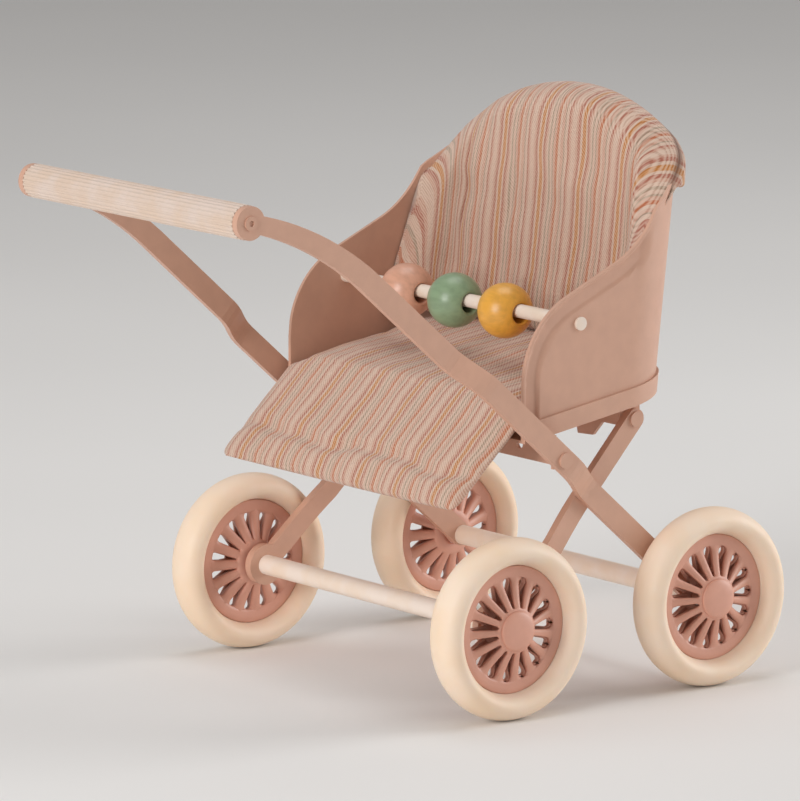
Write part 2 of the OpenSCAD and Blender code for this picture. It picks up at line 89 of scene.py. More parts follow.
def add_camera():
    """A long lens looking down a little at the stroller's right front."""
    camera_data = bpy.data.cameras.new("camera")
    camera_data.lens = LENS_MM
    camera_data.sensor_width = SENSOR_MM
    camera = bpy.data.objects.new("camera", camera_data)
    bpy.context.scene.collection.objects.link(camera)
    back = Vector((
        math.sin(VIEW_AROUND) * math.cos(VIEW_DOWN),
        -math.cos(VIEW_AROUND) * math.cos(VIEW_DOWN),
        math.sin(VIEW_DOWN),
    ))
    camera.location = VIEW_TARGET + back * VIEW_DISTANCE
    camera.rotation_euler = back.to_track_quat("Z", "Y").to_euler()
    bpy.context.scene.camera = camera
    return camera


camera = add_camera()
print("camera at", [round(v, 3) for v in camera.location])

# %% [markdown]
# Every finish starts from the same shader. A small helper class holds one material and adds
# nodes to it, so each finish reads as a short recipe. Colours are written the way a paint
# chart gives them, from 0 to 255, and turned into the light values the shader wants.

# %% Material helper


def paint(red, green, blue):
    """A chart colour as linear light."""
    def linear(value):
        value /= 255
        return value / 12.92 if value <= 0.04045 else ((value + 0.055) / 1.055) ** 2.4
    return (linear(red), linear(green), linear(blue), 1)


class Finish:
    """A material with one Principled shader and short ways to add nodes to it."""

    def __init__(self, name, colour, roughness, **sockets):
        self.material = bpy.data.materials.new(name)
        self.material.use_nodes = True
        self.tree = self.material.node_tree
        self.shader = self.tree.nodes["Principled BSDF"]
        self.shader.inputs["Base Color"].default_value = colour
        self.shader.inputs["Roughness"].default_value = roughness
        for socket, value in sockets.items():
            self.shader.inputs[socket.replace("_", " ")].default_value = value
        self.place = self.add("ShaderNodeTexCoord").outputs["Object"]

    def add(self, kind, **settings):
        """A new node with the settings given."""
        node = self.tree.nodes.new(kind)
        for name, value in settings.items():
            setattr(node, name, value)
        return node

    def link(self, source, target):
        """Joins an output to an input."""
        self.tree.links.new(source, target)

    def noise(self, size_mm, detail=3, vector=None):
        """Cloudy noise with features of about the given size."""
        node = self.add("ShaderNodeTexNoise")
        node.inputs["Scale"].default_value = 1 / (size_mm * MM)
        node.inputs["Detail"].default_value = detail
        self.link(vector or self.place, node.inputs["Vector"])
        return node.outputs["Fac"]

    def ramp(self, source, stops, interpolation="LINEAR"):
        """Turns a value into colours; stops are (place, colour)."""
        node = self.add("ShaderNodeValToRGB")
        node.color_ramp.interpolation = interpolation
        elements = node.color_ramp.elements
        while len(elements) < len(stops):
            elements.new(1.0)
        for element, (place, colour) in zip(elements, stops):
            element.position = place
            element.color = colour
        self.link(source, node.inputs["Fac"])
        return node.outputs["Color"]

    def math(self, operation, first, second=None, clamp=False):
        """One sum on numbers or sockets."""
        node = self.add("ShaderNodeMath", operation=operation, use_clamp=clamp)
        for value, socket in zip((first, second), node.inputs):
            if value is None:
                continue
            if isinstance(value, (int, float)):
                socket.default_value = value
            else:
                self.link(value, socket)
        return node.outputs[0]

    def mix(self, share, first, second):
        """Two colours mixed; a share of 0 is all the first."""
        node = self.add("ShaderNodeMix", data_type="RGBA")
        sockets = (node.inputs[0], node.inputs[6], node.inputs[7])
        for value, socket in zip((share, first, second), sockets):
            if isinstance(value, (int, float, tuple)):
                socket.default_value = value
            else:
                self.link(value, socket)
        return node.outputs[2]

    def bump(self, height, depth_mm, strength=1.0):
        """Dents the surface by a height."""
        node = self.add("ShaderNodeBump")
        node.inputs["Strength"].default_value = strength
        node.inputs["Distance"].default_value = depth_mm * MM
        self.link(height, node.inputs["Height"])
        self.link(node.outputs["Normal"], self.shader.inputs["Normal"])

    def colour_from(self, source):
        """Drives the colour."""
        self.link(source, self.shader.inputs["Base Color"])

    def roughness_from(self, source, low, high):
        """Drives the roughness between two values."""
        node = self.add("ShaderNodeMapRange")
        node.inputs["To Min"].default_value = low
        node.inputs["To Max"].default_value = high
        self.link(source, node.inputs["Value"])
        self.link(node.outputs["Result"], self.shader.inputs["Roughness"])


# %% [markdown]
# The metal is stove-enamelled: a satin skin, very slightly cloudy, with the faint dimples that
# sprayed paint dries into. Two sizes of noise do it, a broad one for the clouding and a fine
# one for the dimples. The wheel discs get a warmer, rosier batch of the same paint.

# %% Painted metal


def enamel(name, colour, roughness=0.42):
    """Satin sprayed enamel with faint clouding and dimples."""
    finish = Finish(name, colour, roughness, Specular_IOR_Level=0.45)
    light = tuple(min(1, c * 1.02) for c in colour[:3]) + (1,)
    dark = tuple(c * 0.97 for c in colour[:3]) + (1,)
    finish.colour_from(finish.ramp(finish.noise(3.5, 5), [(0.35, dark), (0.65, light)]))
    finish.roughness_from(finish.noise(4, 2), roughness - 0.05, roughness + 0.07)
    finish.bump(finish.noise(0.7, 2), 0.012)
    return finish.material


PINK_ENAMEL = enamel("pink_enamel", paint(208, 163, 140))
ROSE_ENAMEL = enamel("rose_enamel", paint(220, 163, 142), 0.4)

# %% [markdown]
# The grip, the axle sleeves and the play bar are off-white and slightly waxy. The tyres are
# softer and yellower, and a little light gets into them, which a touch of subsurface gives.
# All have small mould marks, so none is a flat colour.

# %% Cream pieces


def cream(name, colour, roughness, wax=0.0, grain_mm=6.0):
    """A waxy off-white moulding or paint with faint mottling."""
    finish = Finish(name, colour, roughness, Specular_IOR_Level=0.4)
    finish.shader.inputs["Subsurface Weight"].default_value = wax
    finish.shader.inputs["Subsurface Radius"].default_value = (0.004, 0.0025, 0.0015)
    finish.shader.inputs["Subsurface Scale"].default_value = 0.3
    warm = (colour[0] * 0.98, colour[1] * 0.93, colour[2] * 0.86, 1)
    finish.colour_from(finish.ramp(finish.noise(grain_mm, 5), [(0.38, warm), (0.62, colour)]))
    finish.roughness_from(finish.noise(3, 2), roughness - 0.06, roughness + 0.06)
    finish.bump(finish.noise(1.1, 3), 0.015)
    return finish.material


GRIP_CREAM = cream("grip_cream", paint(216, 198, 186), 0.5)
SLEEVE_CREAM = cream("sleeve_cream", paint(240, 224, 211), 0.38)
TYRE_CREAM = cream("tyre_cream", paint(246, 224, 202), 0.5, wax=0.15, grain_mm=14)

# %% [markdown]
# The beads are turned wood under a satin lacquer. Long, thin noise along the turning axis is
# the grain that shows faintly through the colour.

# %% Painted wood


def lacquered_wood(name, colour):
    """Coloured lacquer over turned wood."""
    finish = Finish(name, colour, 0.34, Specular_IOR_Level=0.5,
                    Coat_Weight=0.25, Coat_Roughness=0.25)
    stretch = finish.add("ShaderNodeMapping")
    stretch.inputs["Scale"].default_value = (0.25, 1, 1)
    finish.link(finish.place, stretch.inputs["Vector"])
    grain = finish.noise(1.2, 4, stretch.outputs["Vector"])
    dark = tuple(c * 0.86 for c in colour[:3]) + (1,)
    finish.colour_from(finish.ramp(grain, [(0.35, dark), (0.6, colour)]))
    finish.bump(grain, 0.02)
    return finish.material


BEAD_FINISHES = {
    "bead_pink": lacquered_wood("pink_lacquer", paint(226, 168, 140)),
    "bead_green": lacquered_wood("green_lacquer", paint(142, 166, 130)),
    "bead_mustard": lacquered_wood("mustard_lacquer", paint(240, 174, 66)),
}


def bright_steel():
    """Drawn steel with fine turning marks."""
    finish = Finish("bright_steel", paint(196, 196, 198), 0.3, Metallic=1.0)
    finish.roughness_from(finish.noise(1.5, 3), 0.24, 0.4)
    finish.bump(finish.noise(0.4, 2), 0.01)
    return finish.material


AXLE_STEEL = bright_steel()

# %% [markdown]
# The cloth is a narrow-striped twill: cream yarn crossed with rose, terracotta, ochre and grey.
# It is far too fine to model, so the yarns are drawn by the shader. Each soft piece carries its
# own cloth coordinates in millimetres, across the stripes and along them, which the shader
# reads. The stripes are a colour ramp over one repeat, a slanting ripple makes the twill's
# speckle, the hollows between its ripples are darkened with painted shade, and the same ripple
# is the bump.

# %% Striped twill
CLOTH_PLACE = "cloth_mm"
REPEAT_MM = 13.6
TWILL_MM = 0.8
CREAM_YARN = paint(214, 188, 169)
# Painted shade colour for the low hollows of the weave
PAINTED_WEAVE_SHADE = paint(146, 100, 78)
YARNS = {
    "cream": paint(216, 186, 167),
    "blush": paint(205, 160, 140),
    "rose": paint(176, 106, 88),
    "terracotta": paint(190, 104, 62),
    "ochre": paint(196, 126, 54),
    "grey": paint(168, 148, 128),
}
# One repeat of the warp: yarn and width in millimetres
WARP = [
    ("cream", 0.9), ("blush", 0.6), ("rose", 0.8), ("cream", 0.6), ("ochre", 1.0), ("cream", 0.5),
    ("rose", 0.7), ("blush", 0.5), ("cream", 0.6), ("grey", 0.5), ("cream", 0.7), ("grey", 0.4),
    ("blush", 0.7), ("terracotta", 0.7), ("cream", 0.7), ("blush", 0.9), ("grey", 0.4),
    ("cream", 0.8), ("rose", 0.5), ("blush", 0.6), ("cream", 0.5),
]


def striped_twill():
    """The cushion's cloth."""
    finish = Finish("striped_twill", YARNS["cream"], 0.92, Specular_IOR_Level=0.15,
                    Sheen_Weight=0.25, Sheen_Roughness=0.5)
    place = finish.add("ShaderNodeAttribute", attribute_name=CLOTH_PLACE)
    parts = finish.add("ShaderNodeSeparateXYZ")
    finish.link(place.outputs["Vector"], parts.inputs["Vector"])
    across, along = parts.outputs["X"], parts.outputs["Y"]
    wander = finish.add("ShaderNodeTexNoise")
    wander.inputs["Scale"].default_value = 0.12
    wander.inputs["Detail"].default_value = 2
    finish.link(place.outputs["Vector"], wander.inputs["Vector"])
    wandered = finish.math("ADD", across, finish.math("MULTIPLY", wander.outputs["Fac"], 0.8))
    share = finish.math("FRACT", finish.math("DIVIDE", wandered, REPEAT_MM))
    total = sum(width for _, width in WARP)
    stops, edge = [], 0.0
    for yarn, width in WARP:
        stops.append((edge / total, YARNS[yarn]))
        edge += width
    stripes = finish.ramp(share, stops, "CONSTANT")
    # The twill: slanting ripples, with each yarn's own unevenness
    slant = finish.math("ADD", finish.math("DIVIDE", wandered, TWILL_MM),
                        finish.math("DIVIDE", along, TWILL_MM))
    wave = finish.math("SINE", finish.math("MULTIPLY", slant, 2 * math.pi))
    ripples = finish.math("ADD", finish.math("MULTIPLY", wave, 0.5), 0.5)
    speck = finish.add("ShaderNodeTexNoise")
    speck.inputs["Scale"].default_value = 2.4
    speck.inputs["Detail"].default_value = 3
    speck.inputs["Roughness"].default_value = 0.7
    finish.link(place.outputs["Vector"], speck.inputs["Vector"])
    uneven = finish.math("MULTIPLY", finish.math("SUBTRACT", speck.outputs["Fac"], 0.5), 2.6)
    cover = finish.math("ADD", ripples, uneven, clamp=True)
    woven = finish.mix(finish.math("MULTIPLY", cover, 0.6), stripes, CREAM_YARN)
    # Painted shade: where the ripples are low, the colour is pulled towards a dark brown
    painted_hollow_shade = finish.math("SUBTRACT", 0.42, cover, clamp=True)
    woven = finish.mix(finish.math("MULTIPLY", painted_hollow_shade, 0.9), woven, PAINTED_WEAVE_SHADE)
    # Painted shade: the crease of the seam over the rim is darkened, read from its own attribute
    seam = finish.add("ShaderNodeAttribute", attribute_name="seam")
    woven = finish.mix(seam.outputs["Fac"], woven, paint(112, 78, 62))
    finish.colour_from(woven)
    finish.bump(cover, 0.09, 0.8)
    return finish.material


STRIPED_TWILL = striped_twill()
print("finishes:", len(bpy.data.materials))

# %% [markdown]
# The ready metal pieces have sharp edges, as if cut by a laser. Real pressed straps are tumbled
# and painted, so their edges are round enough to catch a line of light. A bevel modifier does
# this without touching the mesh.

# %% Paint the ready pieces
STRAP_EDGE = 0.32
SMALL_EDGE = 0.12


def soften_edges(obj, width_mm, segments=3):
    """Rounds the edges of a ready piece with modifiers only."""
    bevel = obj.modifiers.new("round_edges", "BEVEL")
    bevel.width = width_mm * MM
    bevel.segments = segments
    bevel.limit_method = "ANGLE"
    bevel.angle_limit = math.radians(38)
    bevel.harden_normals = False
    bevel.use_clamp_overlap = True


def finish_node(name, material, edge_mm=None):
    """Gives a ready piece its finish and, where asked, rounded edges."""
    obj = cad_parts[name]
    for slot in obj.material_slots:
        slot.material = material
    if edge_mm:
        soften_edges(obj, edge_mm)


for node in ("arm_left", "arm_right", "leg_left", "leg_right"):
    finish_node(node, PINK_ENAMEL, STRAP_EDGE)
for node in ("seat_tray", "front_crossbar", "rear_crossbar",
             "arm_rivets", "leg_rivets", "crossing_rivets", "handle_screws"):
    finish_node(node, PINK_ENAMEL, SMALL_EDGE)
finish_node("handle_grip", GRIP_CREAM)
for node in ("play_bar", "play_bar_caps", "front_sleeve", "rear_sleeve"):
    finish_node(node, SLEEVE_CREAM, SMALL_EDGE)
for node in ("front_axle", "rear_axle", "axle_clips"):
    finish_node(node, AXLE_STEEL)
for wheel in ("front_left", "front_right", "rear_left", "rear_right"):
    finish_node(wheel + "_hub", ROSE_ENAMEL)
print("painted", sum(1 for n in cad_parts.values() if n.material_slots))

# %% [markdown]
# New pieces are built from points and faces in millimetres. Three helpers cover them all: one
# makes an object from points, one joins rows of points into a skin, and one turns a section
# round an axle, as a lathe does.

# %% Mesh helpers


def make_object(name, points, faces, material, smooth=True, weld=True):
    """A mesh object from points in millimetres."""
    mesh = bpy.data.meshes.new(name)
    mesh.from_pydata([Vector(p) * MM for p in points], [], faces)
    mesh.update()
    obj = bpy.data.objects.new(name, mesh)
    bpy.context.scene.collection.objects.link(obj)
    mesh.materials.append(material)
    tidy_mesh(mesh, smooth, weld)
    return obj


def tidy_mesh(mesh, smooth=True, weld=True):
    """Welds coincident points, drops empty faces and turns all faces outwards."""
    work = bmesh.new()
    work.from_mesh(mesh)
    if weld:
        bmesh.ops.remove_doubles(work, verts=work.verts, dist=0.002 * MM)
        bmesh.ops.dissolve_degenerate(work, edges=work.edges, dist=0.001 * MM)
    bmesh.ops.recalc_face_normals(work, faces=work.faces)
    work.to_mesh(mesh)
    work.free()
    mesh.polygons.foreach_set("use_smooth", [smooth] * len(mesh.polygons))
    mesh.update()


def skin_faces(rows, columns, close_rows=False, close_columns=False, start=0):
    """Faces of a grid whose points are listed row by row."""
    faces = []
    for i in range(rows if close_rows else rows - 1):
        for j in range(columns if close_columns else columns - 1):
            a, b = i * columns + j, i * columns + (j + 1) % columns
            c, d = ((i + 1) % rows) * columns + (j + 1) % columns, ((i + 1) % rows) * columns + j
            faces.append((start + a, start + b, start + c, start + d))
    return faces


def around(centre, outward, radius, height, angle):
    """A point round an X axis; outward is +1 or -1 along X."""
    return (
        centre.x + outward * height,
        centre.y + radius * math.cos(angle),
        centre.z + radius * math.sin(angle),
    )


def turned(name, section, centre, outward, material, steps=96):
    """Turns a closed section of (radius, height) round an X axis."""
    points = []
    for i in range(steps):
        angle = 2 * math.pi * i / steps
        points += [around(centre, outward, radius, height, angle) for radius, height in section]
    faces = skin_faces(steps, len(section), close_rows=True, close_columns=True)
    return make_object(name, points, faces, material)


def smooth_step(low, high, value):
    """0 below low and 1 above high, with a soft climb between."""
    share = min(1, max(0, (value - low) / (high - low)))
    return share * share * (3 - 2 * share)


# %% [markdown]
# ## Wheels
#
# A tyre is a soft ring with a section like a plump D: a rounded tread, and cheeks that fall
# towards the disc. Turning one section round the axle makes it, and the axle's place comes
# from the ready tyre's box.

# %% Tyres
WHEELS = [(end + "_" + side, 1 if side == "right" else -1)
          for end in ("front", "rear") for side in ("left", "right")]
DISC_LOW, DISC_HIGH = box_mm("front_right_outer_disc")
DISC_R = (DISC_HIGH.z - DISC_LOW.z) / 2
TYRE_LOW, TYRE_HIGH = box_mm("front_right_tyre")
TYRE_R = (TYRE_HIGH.z - TYRE_LOW.z) / 2
TYRE_HALF = (TYRE_HIGH.x - TYRE_LOW.x) / 2
TYRE_SEAT = 0.9
TREAD_STEPS, CHEEK_STEPS, CHEEK_TURN = 32, 11, 78


def wheel_centre(wheel):
    """Middle of a wheel, in millimetres."""
    low, high = box_mm(wheel + "_tyre")
    return (low + high) / 2


def tyre_section():
    """Section of a tyre as (radius, height), anticlockwise from its inner cheek."""
    middle = (TYRE_R + DISC_R) / 2 - 0.2
    outer, inner = TYRE_R - middle, middle - DISC_R
    tread, cheek = [], []
    for i in range(TREAD_STEPS + 1):
        angle = math.radians(-90 + 180 * i / TREAD_STEPS)
        tread.append((middle + outer * math.cos(angle), TYRE_HALF * math.sin(angle)))
    for i in range(1, CHEEK_STEPS + 1):
        angle = math.radians(90 - CHEEK_TURN * i / CHEEK_STEPS)
        cheek.append((middle - inner * math.cos(angle), TYRE_HALF * math.sin(angle)))
    cheek.append((DISC_R - 0.02, TYRE_SEAT))
    return tread + cheek + [(radius, -height) for radius, height in reversed(cheek)]


for wheel, outward in WHEELS:
    tyre = turned(wheel + "_soft_tyre", tyre_section(), wheel_centre(wheel), outward, TYRE_CREAM)
    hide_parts(wheel + "_tyre")
    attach(tyre, wheel + "_wheel")
print("tyre", round(2 * TYRE_R, 1), "mm across,", round(2 * TYRE_HALF, 1), "mm wide")

# %% [markdown]
# A wheel disc is pressed from sheet: a ring of teardrop holes leaves slim round-backed spokes
# that climb to the hub. The holes' edges are turned in, which gives their deep dark sides. The
# skin is laid out one spoke at a time, in rows from the hub to the rim, and it is slit where
# a hole opens, so the edges stay clean. A solidify modifier gives the sheet its thickness.

# %% Wheel discs
SPOKES = 15
HOLE_IN, HOLE_IN_R = 5.2, 0.42
HOLE_OUT, HOLE_OUT_R = 10.06, 1.2
HUB_HEIGHT, RIM_HEIGHT = 3.0, 0.84
CAP_R, FLAT_R = 4.3, DISC_R - 1.9
SHEET_T = 0.35
TURN_IN = 0.8
# How far a spoke's sides fall below its ridge, and the half-width of hole at which it is full
SPOKE_FALL, OPEN_AT = 0.42, 0.35
# Places across one spoke; the first and last are doubled for the turned-in edges
ACROSS = [-1, -1, -0.92, -0.75, -0.5, -0.25, 0, 0.25, 0.5, 0.75, 0.92, 1, 1]


def hole_half_width(radius):
    """Half the width of a teardrop hole at a distance from the hub."""
    if radius <= HOLE_IN - HOLE_IN_R or radius >= HOLE_OUT + HOLE_OUT_R:
        return 0.0
    if radius < HOLE_IN:
        return math.sqrt(HOLE_IN_R ** 2 - (HOLE_IN - radius) ** 2)
    if radius > HOLE_OUT:
        return math.sqrt(max(0, HOLE_OUT_R ** 2 - (radius - HOLE_OUT) ** 2))
    return HOLE_IN_R + (HOLE_OUT_R - HOLE_IN_R) * (radius - HOLE_IN) / (HOLE_OUT - HOLE_IN)


def disc_height(radius):
    """The disc's height over the wheel's middle plane: a hollow slope between hub and rim."""
    share = min(1, max(0, (radius - CAP_R + 0.3) / (FLAT_R - CAP_R + 0.3)))
    slope = HUB_HEIGHT + (RIM_HEIGHT - HUB_HEIGHT) * (1 - (1 - share) ** 1.35)
    rim_swell = 0.28 * math.sin(math.pi * smooth_step(FLAT_R - 1.0, DISC_R + 1.0, radius))
    return slope + rim_swell


def disc_rows():
    """Distances from the hub at which the rows of the skin lie."""
    rows = [2.35, 3.2, 4.0, 4.5]
    rows += [HOLE_IN - HOLE_IN_R * math.cos(math.radians(a)) for a in (0, 30, 60, 90)]
    rows += [HOLE_IN + (HOLE_OUT - HOLE_IN) * i / 9 for i in range(1, 10)]
    rows += [HOLE_OUT + HOLE_OUT_R * math.sin(math.radians(a)) for a in (15, 30, 45, 60, 75, 90)]
    rows += [FLAT_R - 0.2, FLAT_R + 0.5, DISC_R - 0.8, DISC_R - 0.3, DISC_R - 0.05]
    return rows


def pressed_disc(name, centre, outward):
    """One pressed disc with its spokes."""
    rows, points, faces = disc_rows(), [], []
    for spoke in range(SPOKES):
        start = len(points)
        middle = 2 * math.pi * (spoke + 0.5) / SPOKES
        for radius in rows:
            gap = hole_half_width(radius)
            half = math.pi / SPOKES - gap / radius
            open_share = min(1, gap / OPEN_AT)
            for k, share in enumerate(ACROSS):
                height = disc_height(radius)
                height -= open_share * SPOKE_FALL * (1 - math.sqrt(max(0, 1 - share * share)))
                if k in (0, len(ACROSS) - 1):
                    height -= open_share * TURN_IN
                points.append(around(centre, outward, radius, height, middle + share * half))
        faces += skin_faces(len(rows), len(ACROSS), start=start)
    disc = make_object(name, points, faces, ROSE_ENAMEL)
    sheet = disc.modifiers.new("sheet", "SOLIDIFY")
    sheet.thickness = SHEET_T * MM
    sheet.offset = -1
    return disc


for wheel, side in WHEELS:
    for face, outward in (("outer", side), ("inner", -side)):
        disc = pressed_disc(wheel + "_" + face + "_pressed_disc", wheel_centre(wheel), outward)
        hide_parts(wheel + "_" + face + "_disc")
        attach(disc, wheel + "_wheel")
print("discs with", SPOKES, "spokes each")

# %% [markdown]
# The cap over the axle's end is a low dome with a softly rounded edge.

# %% Hub caps
CAP_RISE = 1.1
CAP_BORE_R = 2.4
CAP_LIP = 0.12
CAP_STEPS = 12


def cap_section():
    """Section of a hub cap from its foot to its middle."""
    low, high = HUB_HEIGHT - CAP_LIP, HUB_HEIGHT + CAP_LIP
    points = [(CAP_BORE_R, HUB_HEIGHT + 0.2), (CAP_BORE_R, low), (CAP_R, low), (CAP_R + 0.02, high)]
    for i in range(1, CAP_STEPS + 1):
        angle = math.radians(90 * i / CAP_STEPS)
        radius = CAP_R * math.cos(angle) ** 0.8
        points.append((max(radius, 0.001), high + (CAP_RISE - CAP_LIP) * math.sin(angle)))
    points.append((0.001, HUB_HEIGHT + 0.4))
    return points


for wheel, side in WHEELS:
    cap = turned(wheel + "_domed_cap", cap_section(), wheel_centre(wheel), side, ROSE_ENAMEL, 64)
    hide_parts(wheel + "_hub_cap")
    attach(cap, wheel + "_wheel")

# %% [markdown]
# ## Beads
#
# Each bead is a turned ball with a drilled hole whose mouth is eased, so that it doesn't chip.
# The section is the ball's arc, a small round at the mouth and the straight bore.

# %% Beads
MOUTH_ROUND = 0.45
BORE_R = 2.1
BEAD_STEPS, MOUTH_STEPS = 40, 5


def bead_section(radius, bore):
    """Section of a bead round its bore."""
    end = math.acos((bore + MOUTH_ROUND) / radius)
    ball, mouth = [], []
    for i in range(BEAD_STEPS + 1):
        angle = -end + 2 * end * i / BEAD_STEPS
        ball.append((radius * math.cos(angle), radius * math.sin(angle)))
    top = radius * math.sin(end) - MOUTH_ROUND
    for i in range(1, MOUTH_STEPS + 1):
        angle = math.radians(90 * i / MOUTH_STEPS)
        mouth.append((bore + MOUTH_ROUND * (1 - math.sin(angle)),
                      top + MOUTH_ROUND * math.cos(angle)))
    return ball + mouth + [(place, -height) for place, height in reversed(mouth)]


for bead, finish in BEAD_FINISHES.items():
    low, high = box_mm(bead)
    radius = (high.z - low.z) / 2
    piece = turned(bead + "_turned", bead_section(radius, BORE_R), (low + high) / 2, 1, finish, 72)
    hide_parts(bead)
    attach(piece, bead + "_body")
print("beads", round(2 * radius, 1), "mm across")

# %% [markdown]
# ## The tub
#
# The seat tub is one bent sheet: two flat sides, two round corners and a back that leans. Its
# edge is rolled, and inside the edge runs a sunk band about three millimetres wide, which
# stiffens the sheet. The tub is laid out in columns that stand on the tray, from the front of
# one side round the back to the other, and each column climbs until it meets the outline.

# %% Outline of the tub, in millimetres
FRONT = TUB_LOW.y
HALF = TUB_HIGH.x
BAR_R = 1.5
BAR_OVER_CORNER = 12.2
TILT = math.radians(9)
LEAN = math.radians(6.6)
CORNER_R = 14.5
TUB_BACK = FRONT + 43.6
ARC_Y = TUB_BACK - CORNER_R
TRAY_T = 0.6
TUB_T = 0.8


def tray_z(y):
    """Height of the tray's underside."""
    return TRAY_LOW.z + (y - FRONT) * math.tan(TILT)


PIVOT_Z = tray_z(TUB_BACK)
CORNER = Vector((FRONT + 20, BAR_LOW.z + BAR_R - BAR_OVER_CORNER))
CORNER_ROUND = 20
SLOPE = math.radians(24)
SWEEP_R = 24
SWEEP_START = FRONT + 25.1
SWEEP = Vector((SWEEP_START - SWEEP_R * math.sin(SLOPE),
                CORNER.y + CORNER_ROUND / math.cos(SLOPE)
                + (SWEEP_START - CORNER.x) * math.tan(SLOPE) + SWEEP_R * math.cos(SLOPE)))
CROWN_R, SHOULDER_R = 60, 22
CROWN_Z = TUB_HIGH.z - CROWN_R
SHOULDER_X = HALF - 20.2
SHOULDER_Z = CROWN_Z + math.sqrt((CROWN_R - SHOULDER_R) ** 2 - SHOULDER_X ** 2)


def leaned(y, up):
    """A plan place and a height along the leaning wall, as (y, z)."""
    return (TUB_BACK + (y - TUB_BACK) * math.cos(LEAN) + up * math.sin(LEAN),
            PIVOT_Z - (y - TUB_BACK) * math.sin(LEAN) + up * math.cos(LEAN))


def unleaned(y, z):
    """The plan place and the height of a point of the leaning wall."""
    dy, dz = y - TUB_BACK, z - PIVOT_Z
    return (TUB_BACK + dy * math.cos(LEAN) - dz * math.sin(LEAN),
            dy * math.sin(LEAN) + dz * math.cos(LEAN))


def side_top(y):
    """Height of the side's edge at a place along the stroller."""
    if y <= CORNER.x - CORNER_ROUND * math.sin(SLOPE):
        return CORNER.y + math.sqrt(max(0, CORNER_ROUND ** 2 - (y - CORNER.x) ** 2))
    if y <= SWEEP_START:
        return CORNER.y + CORNER_ROUND / math.cos(SLOPE) + (y - CORNER.x) * math.tan(SLOPE)
    if y < SWEEP.x + SWEEP_R:
        return SWEEP.y - math.sqrt(max(0, SWEEP_R ** 2 - (y - SWEEP.x) ** 2))
    return 1000


def arch_top(x):
    """Height of the back's arch at a place across the stroller."""
    tie = math.atan2(SHOULDER_Z - CROWN_Z, SHOULDER_X)
    if abs(x) <= CROWN_R * math.cos(tie):
        return CROWN_Z + math.sqrt(CROWN_R ** 2 - x * x)
    return SHOULDER_Z + math.sqrt(max(0, SHOULDER_R ** 2 - (abs(x) - SHOULDER_X) ** 2))


def side_outline():
    """Points along the side's edge, as (y, z)."""
    points = [Vector((FRONT, z)) for z in (TRAY_LOW.z, CORNER.y)]
    end = SWEEP.x + SWEEP_R
    for i in range(1, 120):
        y = FRONT + (end - 0.001 - FRONT) * (1 - math.cos(math.pi * i / 120)) / 2
        points.append(Vector((y, side_top(y))))
    points.append(Vector((end, TUB_HIGH.z + 20)))
    return points


OUTLINE = side_outline()


def edge_distance(y, z):
    """Distance from the side's edge."""
    place = Vector((y, z))
    best = 1000
    for a, b in zip(OUTLINE, OUTLINE[1:]):
        span = b - a
        share = min(1, max(0, (place - a).dot(span) / max(span.dot(span), 1e-9)))
        best = min(best, (a + span * share - place).length)
    return best


print("tub back leans", round(math.degrees(LEAN), 1), "degrees")

# %% [markdown]
# Rows are close together near the edge, where the roll and the band need them, and wide apart
# on the plain panel. The outside is pushed in over the band, and the two skins are joined all
# the way round. A small bevel rounds the roll.

# %% The tub
BAND_DEPTH = 0.6
SIDE_COLUMNS, CORNER_COLUMNS, BACK_COLUMNS_HALF = 26, 16, 14
EDGE_STEPS = [0, 0.3, 0.6, 0.85, 1.1, 1.5, 2.2, 3.0, 3.4, 3.7, 4.0, 4.3, 4.6, 5.0, 5.6]
PANEL_ROWS = 22


def wall_columns():
    """Foot, direction and outward normal of each column on the right half, front to back."""
    columns = []
    corner_foot = leaned(ARC_Y, 0)[0]
    for _ in range(3):
        corner_foot = leaned(ARC_Y, unleaned(corner_foot, tray_z(corner_foot) + TRAY_T)[1])[0]
    last = EDGE_STEPS[-1]
    steps = EDGE_STEPS + [last + (corner_foot - FRONT - last) * i / SIDE_COLUMNS
                          for i in range(1, SIDE_COLUMNS + 1)]
    for step in steps:
        tip = LEAN * step / steps[-1]
        columns.append((HALF, FRONT + step, Vector((1, 0)), tip))
    for i in range(1, CORNER_COLUMNS + 1):
        angle = math.radians(90 * i / CORNER_COLUMNS)
        columns.append((HALF - CORNER_R * (1 - math.cos(angle)), ARC_Y + CORNER_R * math.sin(angle),
                        Vector((math.cos(angle), math.sin(angle))), None))
    for i in range(1, BACK_COLUMNS_HALF + 1):
        share = i / BACK_COLUMNS_HALF
        columns.append(((HALF - CORNER_R) * (1 - share), TUB_BACK, Vector((0, 1)), None))
    return columns


def column_point(column, up):
    """The point at a height up a column; up is measured from the tray's floor."""
    x, y, normal, tip = column
    if tip is not None:
        return Vector((x, y + up * math.sin(tip), tray_z(y) + TRAY_T + up * math.cos(tip)))
    low = 0
    for _ in range(4):
        foot_y, foot_z = leaned(y, low)
        low += tray_z(foot_y) + TRAY_T - foot_z
    place = leaned(y, low + up)
    return Vector((x, place[0], place[1]))


def climb(point_at):
    """How far a line climbs before it meets the outline; point_at gives the point at a height."""
    low, high = 0.0, 90.0
    for _ in range(30):
        middle = (low + high) / 2
        point = point_at(middle)
        if point.z < side_top(point.y) and point.z < arch_top(point.x):
            low = middle
        else:
            high = middle
    return low


def band_push(point):
    """How far the outside is pushed in at a point, by the band."""
    distance = edge_distance(point.y, point.z)
    sunk = smooth_step(0.55, 1.1, distance) - smooth_step(3.6, 4.4, distance)
    return BAND_DEPTH * sunk


